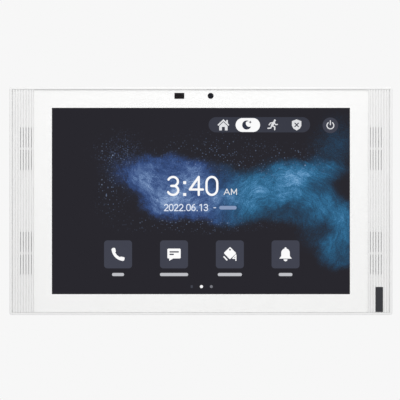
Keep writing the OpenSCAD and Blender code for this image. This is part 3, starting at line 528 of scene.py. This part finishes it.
# Each CAD node's look.
NODE_LOOKS = {
    "wall_bracket": "zinc", "lock_screw": "screw", "front_housing": "housing", "rear_housing": "back",
    "housing_screws": "screw", "rating_plate": "label", "badge_plate": "badge", "cover_glass": "glass",
    "border_film": "film", "glass_tape": "tape", "touch_sensor": "sheet", "touch_flex": "flex",
    "optical_adhesive": "sheet", "lcd_cell": "panel", "lcd_flex": "flex", "diffuser_sheet": "diffuser",
    "light_guide": "guide", "led_strip": "leds", "backlight_tray": "tray", "support_plate": "zinc",
    "support_screws": "screw", "camera_holder": "dull", "camera_lens": "lens", "camera_board": "board",
    "camera_flex": "flex", "sensor_filter": "filter", "sensor_holder": "dull", "sensor_board": "board",
    "sensor_flex": "flex", "grille_cloth": "cloth", "speaker_gaskets": "foam", "speaker_frames": "black",
    "speaker_surrounds": "rubber", "speaker_magnets": "magnet", "speaker_cone_left": "cone",
    "speaker_cone_right": "cone", "speaker_wires": "red_lead", "microphone_boots": "rubber",
    "microphone_boards": "board", "microphone_wires": "black_lead", "main_board": "board",
    "board_screws": "screw", "board_sockets": "ivory", "processor_shield": "tin", "thermal_pad": "pad",
    "heat_sink": "sink", "power_transformer": "wound", "network_magnetics": "chip", "capacitors": "sleeve",
    "inductors": "ferrite", "relays": "relay", "backup_battery": "cell", "radio_module": "tin",
    "antenna": "black_lead", "ethernet_jack": "black", "jack_shield": "tin", "terminal_headers": "terminal",
    "terminal_plugs": "plug", "reset_switch": "black", "reset_button": "reset",
}

# Edges that get a small round, in millimetres.
EDGE_ROUNDS = {
    "front_housing": 0.08, "rear_housing": 0.25, "wall_bracket": 0.25, "lock_screw": 0.15,
    "housing_screws": 0.15, "cover_glass": 0.12, "badge_plate": 0.12, "jack_shield": 0.08,
    "terminal_plugs": 0.1, "terminal_headers": 0.1, "reset_button": 0.15, "heat_sink": 0.1, "relays": 0.3,
    "processor_shield": 0.2, "ethernet_jack": 0.1,
}


def dress_cad_nodes():
    """A finish and rounded edges for each node of the frame."""
    for name, look in NODE_LOOKS.items():
        obj = nodes[name]
        obj.data.materials.clear()
        obj.data.materials.append(LOOKS[look])
        if name in EDGE_ROUNDS:
            round_edges(obj, EDGE_ROUNDS[name])


def round_edges(obj, width):
    """A bevel of this width, on edges that are left when flat faces are joined."""
    weld = obj.modifiers.new("weld", "WELD")
    weld.merge_threshold = 1e-6
    flat = obj.modifiers.new("flat", "DECIMATE")
    flat.decimate_type = "DISSOLVE"
    flat.angle_limit = math.radians(0.3)
    bevel = obj.modifiers.new("round", "BEVEL")
    bevel.width = width * MM
    bevel.segments = 2
    bevel.limit_method = "ANGLE"
    bevel.angle_limit = math.radians(38)
    bevel.harden_normals = True
    bevel.use_clamp_overlap = True


# ---------- Flat shapes of the display's picture ----------

def oval_arc(x, z, half_w, half_h, start, end, steps=14):
    """Points on an oval's edge, with angles in degrees from +X towards +Z."""
    angles = [math.radians(start + (end - start) * i / steps) for i in range(steps + 1)]
    return [(x + half_w * math.cos(a), z + half_h * math.sin(a)) for a in angles]


def arc(x, z, r, start, end, steps=10):
    return oval_arc(x, z, r, r, start, end, steps)


def disc(x, z, r, steps=28):
    return arc(x, z, r, 0, 360, steps)[:-1]


def panel(x, z, w, h, r):
    """A rectangle with round corners about (x, z)."""
    dx, dz = w / 2 - r, h / 2 - r
    return (arc(x + dx, z + dz, r, 0, 90) + arc(x - dx, z + dz, r, 90, 180)
            + arc(x - dx, z - dz, r, 180, 270) + arc(x + dx, z - dz, r, 270, 360))


def turned(points, x, z, degrees):
    """Points turned about the origin and moved to (x, z)."""
    c, s = math.cos(math.radians(degrees)), math.sin(math.radians(degrees))
    return [(x + px * c - pz * s, z + px * s + pz * c) for px, pz in points]


def stroke(points, width):
    """Pieces of a line of one width with round joints and ends: a bar for each leg and a disc at each point."""
    shapes = []
    for (ax, az), (bx, bz) in zip(points, points[1:]):
        length = math.hypot(bx - ax, bz - az)
        nx, nz = -(bz - az) / length * width / 2, (bx - ax) / length * width / 2
        shapes.append([(ax - nx, az - nz), (bx - nx, bz - nz), (bx + nx, bz + nz), (ax + nx, az + nz)])
    return shapes + [disc(x, z, width / 2, 12) for x, z in points]


def moved(shapes, x, z, size=1.0):
    """Shapes scaled about the origin and moved to (x, z)."""
    return [[(x + px * size, z + pz * size) for px, pz in shape] for shape in shapes]


# How far each flat shape lies in front of the one before it, so that no two share a plane.
HAIR = 0.00002


def draw(name, shapes, y, mat):
    """One piece of the display's picture, from flat shapes at depth y."""
    mesh = bpy.data.meshes.new(name)
    build = bmesh.new()
    for i, shape in enumerate(shapes):
        depth = (y - i * HAIR) * MM
        face = build.faces.new([build.verts.new((px * MM, depth, pz * MM)) for px, pz in shape])
        face.normal_update()
        if face.normal.y > 0:
            face.normal_flip()
    bmesh.ops.triangulate(build, faces=build.faces[:])
    build.to_mesh(mesh)
    build.free()
    mesh.materials.append(mat)
    obj = bpy.data.objects.new(name, mesh)
    bpy.context.scene.collection.objects.link(obj)
    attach(obj, BODY)


# Depths inside the clear adhesive, a layer apart: the picture at the back, then what lies over it.
LAYER = 0.03
PICTURE_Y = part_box("lcd_cell")[0].y / MM - LAYER
PANEL_Y = PICTURE_Y - LAYER
MARK_Y = PANEL_Y - LAYER
DETAIL_Y = MARK_Y - LAYER
# The lit area of a 10.1-inch display.
LIT_W, LIT_H = 216.96, 135.6
# The clock's figures with their places, and the heights of its line and of everything below it.
CLOCK = (("3", -20.2), ("4", -3.4), ("0", 8.0))
CLOCK_Z = 11.0
DATE_START, DATE_Z = -25.3, -4.75
TILE_X = (-60.4, -19.6, 21.1, 61.7)
TILE_Z, TILE_SIZE = -38.9, 20.4
LABEL_Z, LABEL_WIDTHS = -53.6, (8.8, 20.6, 17.6, 10.0)
DOTS_Z = -62.4
# The marks along the top.
STATUS_Z = 55.4
HOUSE_X, MOON_X, RUNNER_X, SHIELD_X, POWER_X = 16.4, 33.4, 52.4, 69.8, 94.4

GLOW_PANEL = glowing("glow_panel", display(66, 68, 80))
GLOW_BAR = glowing("glow_bar", display(59, 61, 72))
GLOW_WHITE = glowing("glow_white", display(252, 252, 253))
GLOW_MARK = glowing("glow_mark", display(226, 227, 230))
GLOW_DATE = glowing("glow_date", display(222, 230, 243))
GLOW_DAY = glowing("glow_day", display(138, 156, 190))
GLOW_LABEL = glowing("glow_label", display(190, 191, 196))
GLOW_DIM = glowing("glow_dim", display(120, 121, 128))
GLOW_FAINT = glowing("glow_faint", display(66, 68, 78))
GLOW_DARK = glowing("glow_dark", display(52, 56, 70))


def lit_screen():
    half_w, half_h = LIT_W / 2, LIT_H / 2
    whole = [(-half_w, -half_h), (half_w, -half_h), (half_w, half_h), (-half_w, half_h)]
    draw("screen_picture", [whole], PICTURE_Y, wallpaper("wallpaper"))


def ring(half_w, low, high):
    """A closed upright oval with straight sides."""
    mid = half_w * 1.15
    points = (oval_arc(0, high - mid, half_w, mid, 0, 180) + oval_arc(0, low + mid, half_w, mid, 180, 360))
    return points + points[:1]


# The lines of each numeral about its centre, one unit high.
NUMERALS = {
    "0": [ring(0.30, -0.5, 0.5)],
    "1": [[(-0.17, 0.36), (0.09, 0.5), (0.09, -0.5)]],
    "2": [oval_arc(0, 0.21, 0.28, 0.29, 160, -30) + [(-0.29, -0.5), (0.31, -0.5)]],
    "3": [oval_arc(-0.01, 0.245, 0.275, 0.255, 155, -85) + [(-0.11, 0.0)],
          [(-0.11, 0.0)] + oval_arc(-0.01, -0.245, 0.295, 0.255, 85, -158)],
    "4": [[(0.14, -0.5), (0.14, 0.5), (-0.36, -0.2), (0.37, -0.2)]],
    "6": [ring(0.28, -0.5, 0.1), [(-0.28, -0.2), (-0.25, 0.12), (-0.1, 0.36), (0.17, 0.5)]],
}


def numeral(figure, x, z, height, width):
    """One numeral, height tall over all and drawn with a line of this width."""
    size = height - width
    shapes = []
    for line in NUMERALS[figure]:
        shapes += stroke([(x + px * size, z + pz * size) for px, pz in line], width)
    return shapes


def clock():
    """The hour in thin numerals, and the half of the day."""
    shapes = []
    for figure, x in CLOCK:
        shapes += numeral(figure, x, CLOCK_Z, 14.7, 1.6)
    for z in (4.75, 13.4):
        shapes.append(panel(-11.8, z, 2.2, 2.1, 0.3))
    draw("clock_numerals", shapes, MARK_Y, GLOW_WHITE)
    letter_a = [(16.9, 4.7), (18.9, 8.8), (20.9, 4.7)]
    letter_m = [(22.2, 4.7), (22.2, 8.8), (24.1, 5.6), (26.0, 8.8), (26.0, 4.7)]
    small = stroke(letter_a, 0.62) + stroke([(17.6, 6.0), (20.2, 6.0)], 0.55) + stroke(letter_m, 0.62)
    draw("clock_half", small, MARK_Y, GLOW_MARK)


def date_line():
    """The date in numerals, and a plain bar for the day's name."""
    shapes, x = [], DATE_START
    for figure in "2022.06.13":
        if figure == ".":
            shapes.append(panel(x - 0.95, -7.0, 0.75, 0.75, 0.1))
            x += 1.75
        else:
            shapes += numeral(figure, x, DATE_Z, 5.3, 0.72)
            x += 3.63
    shapes.append(panel(10.1, -4.9, 1.9, 0.6, 0.2))
    draw("date_numerals", shapes, MARK_Y, GLOW_DATE)
    draw("day_bar", [panel(19.7, -4.9, 12.6, 2.6, 1.3)], MARK_Y, GLOW_DAY)


def status_bar():
    """The bar of four modes with the second one chosen, and the power mark beside it."""
    draw("status_bar", [panel(42.6, 55.6, 74.0, 11.1, 5.5)], PANEL_Y, GLOW_BAR)
    draw("status_chosen", [panel(34.2, 55.4, 17.8, 10.1, 5.0)], MARK_Y, GLOW_WHITE)
    draw("power_disc", [disc(POWER_X, 55.2, 5.7, 40)], PANEL_Y, GLOW_PANEL)
    house = [[(-4.4, 0.2), (0, 4.3), (4.4, 0.2), (3.7, -0.6), (0, 2.9), (-3.7, -0.6)],
             [(-3.1, -0.7), (0, 2.2), (3.1, -0.7), (3.1, -4.0), (1.1, -4.0), (1.1, -1.4), (-1.1, -1.4),
              (-1.1, -4.0), (-3.1, -4.0)],
             [(2.1, 2.0), (3.3, 0.9), (3.3, 3.7), (2.1, 3.7)]]
    runner = [disc(1.6, 3.6, 0.85, 16)]
    for line, width in (([(0.9, 2.1), (-0.6, -0.4)], 1.9), ([(0.9, 2.0), (-1.9, 1.6), (-2.9, 0.1)], 0.85),
                        ([(1.1, 1.6), (2.4, 0.2), (3.6, 0.5)], 0.85),
                        ([(-0.5, -0.5), (1.6, -1.5), (1.5, -3.7)], 1.0),
                        ([(-0.8, -0.6), (-1.7, -2.4), (-3.8, -2.6)], 1.0)):
        runner += stroke(line, width)
    shield = [[(0, 4.2), (3.5, 2.9), (3.5, -0.4), (2.5, -2.5), (0, -4.1), (-2.5, -2.5), (-3.5, -0.4),
               (-3.5, 2.9)]]
    moon = arc(0, 0, 3.5, 62, 330, 26) + arc(2.0, 1.3, 2.7, -62, -205, 16)
    star = [(2.7, 3.5), (3.05, 2.55), (4.0, 2.2), (3.05, 1.85), (2.7, 0.9), (2.35, 1.85), (1.4, 2.2),
            (2.35, 2.55)]
    draw("status_marks", moved(house, HOUSE_X, STATUS_Z, 0.98) + moved(runner, RUNNER_X, STATUS_Z, 0.92)
         + moved(shield, SHIELD_X, STATUS_Z, 0.98), MARK_Y, GLOW_MARK)
    draw("moon_mark", moved([moon, star], MOON_X, STATUS_Z, 0.95), DETAIL_Y, GLOW_DARK)
    cross = stroke([(-1.3, 1.4), (1.3, -1.2)], 0.75) + stroke([(1.3, 1.4), (-1.3, -1.2)], 0.75)
    draw("shield_cross", moved(cross, SHIELD_X, STATUS_Z), DETAIL_Y, GLOW_DARK)
    power = stroke(arc(0, -0.3, 2.5, 128, 412, 26), 0.75) + stroke([(0, 3.1), (0, 0.2)], 0.75)
    draw("power_mark", moved(power, POWER_X, STATUS_Z), MARK_Y, GLOW_MARK)


def handset():
    """A telephone handset that hangs from upper left to lower right."""
    grip = arc(4.4, 4.4, 9.2, 183, 267, 16) + arc(4.4, 4.4, 7.1, 262, 188, 16)
    ear = turned(panel(0, 0, 2.6, 3.4, 0.8), -3.1, 3.0, 12)
    mouth = turned(panel(0, 0, 3.4, 2.6, 0.8), 3.0, -3.1, -12)
    return [grip, ear, mouth]


def bubble():
    """A speech bubble."""
    return [panel(0, 0.6, 9.7, 7.2, 0.8), [(-3.5, -2.8), (-0.3, -2.8), (-3.5, -4.7)]]


def watching_camera():
    """A tilted camera on an arm."""
    body = turned(panel(0, 0, 6.5, 6.5, 0.7), 0.1, 0.9, 44)
    hood = turned(panel(0, 0, 3.9, 1.0, 0.3), -3.2, -2.9, -47)
    arm = stroke([(2.2, -2.9), (4.4, -0.4), (4.4, -4.4)], 0.85) + stroke([(2.2, -2.9), (4.4, -2.9)], 0.85)
    return [body, hood] + arm


def bell():
    dome = arc(0, 1.2, 3.1, 0, 180, 18)
    return [dome + [(-3.15, -1.3), (-4.6, -3.1), (4.6, -3.1), (3.15, -1.3)], disc(0, 4.4, 0.75, 14),
            arc(0, -3.6, 1.45, 180, 360, 12)]


def tiles():
    """Four tiles, each with its mark, and a plain bar for its name."""
    draw("tiles", [panel(x, TILE_Z, TILE_SIZE, TILE_SIZE, 2.4) for x in TILE_X], PANEL_Y, GLOW_PANEL)
    marks = []
    for x, mark in zip(TILE_X, (handset(), bubble(), watching_camera(), bell())):
        marks += moved(mark, x, TILE_Z)
    draw("tile_marks", marks, MARK_Y, GLOW_WHITE)
    bubble_x, camera_x = TILE_X[1:3]
    details = [panel(bubble_x + 0.1, TILE_Z + 1.8, 6.8, 1.0, 0.3), panel(bubble_x - 1.7, TILE_Z, 3.2, 1.0, 0.3),
               disc(camera_x + 0.1, TILE_Z + 3.4, 0.65, 14)]
    draw("tile_details", details, DETAIL_Y, GLOW_PANEL)
    labels = [panel(x, LABEL_Z, width, 2.3, 1.1) for x, width in zip(TILE_X, LABEL_WIDTHS)]
    draw("tile_labels", labels, MARK_Y, GLOW_LABEL)


def page_dots():
    draw("page_dot_chosen", [disc(0.4, DOTS_Z, 1.15, 20)], MARK_Y, GLOW_WHITE)
    draw("page_dot_next", [disc(7.6, DOTS_Z, 1.1, 20)], MARK_Y, GLOW_DIM)
    draw("page_dot_before", [panel(-6.7, DOTS_Z, 1.6, 2.0, 0.4)], MARK_Y, GLOW_FAINT)


# ---------- Room ----------

# Strength of the white sky as it is seen, as it lights from in front and from behind, and the share that is
# left of it from below.
SKY = 0.93
SKY_IN_FRONT = 0.98
SKY_BEHIND = 0.6
SKY_BELOW = 0.8


def lamp(name, place, size, power):
    """A soft round lamp that the camera doesn't see, turned to the object's middle."""
    data = bpy.data.lights.new(name, "AREA")
    data.shape = "DISK"
    data.size = size
    data.energy = power
    obj = bpy.data.objects.new(name, data)
    obj.location = place
    obj.rotation_euler = (-Vector(place)).to_track_quat("-Z", "Y").to_euler()
    obj.visible_camera = False
    bpy.context.scene.collection.objects.link(obj)


def sky():
    """A pale room: one even white to look at, and light that is stronger from the front and from above."""
    world = bpy.data.worlds.new("pale")
    bpy.context.scene.world = world
    world.use_nodes = True
    background = world.node_tree.nodes["Background"]
    background.inputs["Color"].default_value = (1, 1, 1, 1)
    split = add(world, "ShaderNodeSeparateXYZ")
    link(world, add(world, "ShaderNodeTexCoord").outputs["Generated"], split.inputs[0])
    from_front = spread(world, split.outputs["Y"], SKY_IN_FRONT, SKY_BEHIND, -0.5, 0.3)
    from_above = spread(world, split.outputs["Z"], SKY_BELOW, 1.0, -0.6, 0.2)
    lighting = arithmetic(world, "MULTIPLY", from_front, from_above)
    looked_at = add(world, "ShaderNodeLightPath").outputs["Is Camera Ray"]
    strength = add(world, "ShaderNodeMix")
    link(world, looked_at, strength.inputs[0])
    link(world, lighting, strength.inputs[2])
    strength.inputs[3].default_value = SKY
    link(world, strength.outputs[0], background.inputs["Strength"])


def pale_floor():
    """A floor that is seen from above only, so that the underside can be looked at."""
    mesh = bpy.data.meshes.new("floor")
    side, z = 3.0, -0.6
    corners = [(-side, -side, z), (side, -side, z), (side, side, z), (-side, side, z)]
    mesh.from_pydata(corners, [], [(0, 1, 2, 3)])
    floor = bpy.data.objects.new("floor", mesh)
    bpy.context.scene.collection.objects.link(floor)
    mat, shader = new_material("pale_floor", (0.9, 0.9, 0.9, 1), 0.8)
    through = add(mat, "ShaderNodeBsdfTransparent")
    mix = add(mat, "ShaderNodeMixShader")
    link(mat, add(mat, "ShaderNodeNewGeometry").outputs["Backfacing"], mix.inputs[0])
    link(mat, shader.outputs[0], mix.inputs[1])
    link(mat, through.outputs[0], mix.inputs[2])
    link(mat, mix.outputs[0], mat.node_tree.nodes["Material Output"].inputs["Surface"])
    mesh.materials.append(mat)


def studio():
    sky()
    pale_floor()
    lamp("key", (0.02, -0.36, 0.30), 0.2, 0.45)
    lamp("back", (0.8, 1.0, 1.6), 1.4, 11.0)


# What the picture takes in from side to side at the housing's front, and its middle's x and z.
VIEW_WIDTH = 0.29124
VIEW_X, VIEW_Z = -0.00066, 0.00073


def photograph_camera():
    """Straight on and far away, with a long lens."""
    data = bpy.data.cameras.new("camera")
    data.lens, data.sensor_width = 250, 36
    obj = bpy.data.objects.new("camera", data)
    distance = VIEW_WIDTH / data.sensor_width * data.lens
    obj.location = (VIEW_X, cad_low.y - distance, VIEW_Z)
    obj.rotation_euler = (math.radians(90), 0, 0)
    bpy.context.scene.collection.objects.link(obj)
    bpy.context.scene.camera = obj


dress_cad_nodes()
lit_screen()
clock()
date_line()
status_bar()
tiles()
page_dots()
studio()
photograph_camera()
bpy.context.scene.view_settings.view_transform = "Standard"
